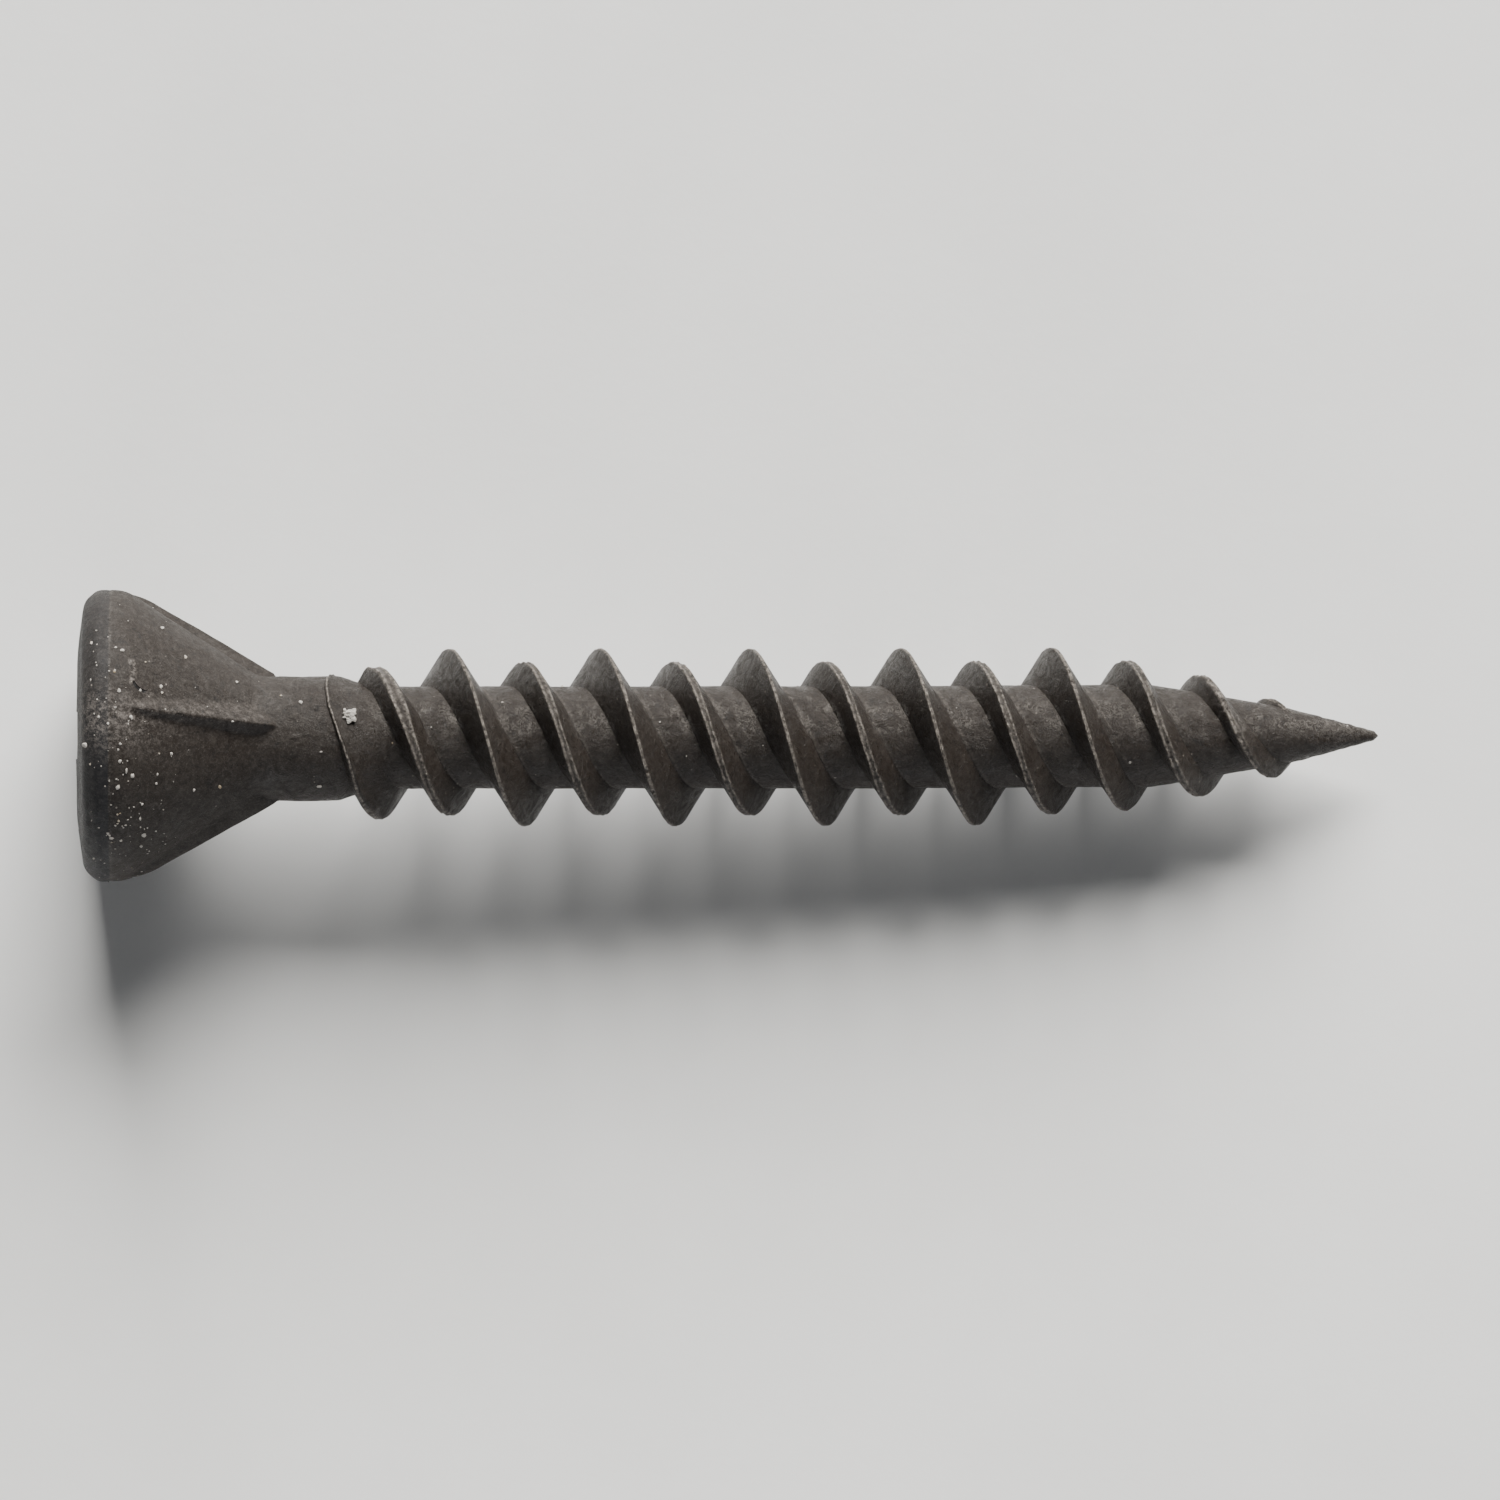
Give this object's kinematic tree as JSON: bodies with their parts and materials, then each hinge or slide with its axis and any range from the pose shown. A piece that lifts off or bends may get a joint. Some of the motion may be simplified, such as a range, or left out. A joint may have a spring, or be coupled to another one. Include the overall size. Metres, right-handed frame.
{
  "type": "wood screw",
  "caption": "Countersunk wood screw with a trumpet head, ribs under the head, a plain neck, a high and low two-start thread and a sharp point.",
  "frame": {"origin": "centre of the head's flat face, on the screw's axis", "axes": "+X along the axis from the head to the tip, +Y and +Z across it, the high crest is at +Y at x = 9.085 mm"},
  "size_m": [0.0317, 0.0072, 0.0072],
  "materials": {
    "phosphated_steel": "dark brown-black phosphate, dull, worn bright on the thread crests"
  },
  "bodies": {
    "root": {"head": "phosphated_steel", "head_ribs": "phosphated_steel", "neck": "phosphated_steel", "core": "phosphated_steel", "high_thread": "phosphated_steel", "low_thread": "phosphated_steel", "point": "phosphated_steel"}
  },
  "joints": []
}
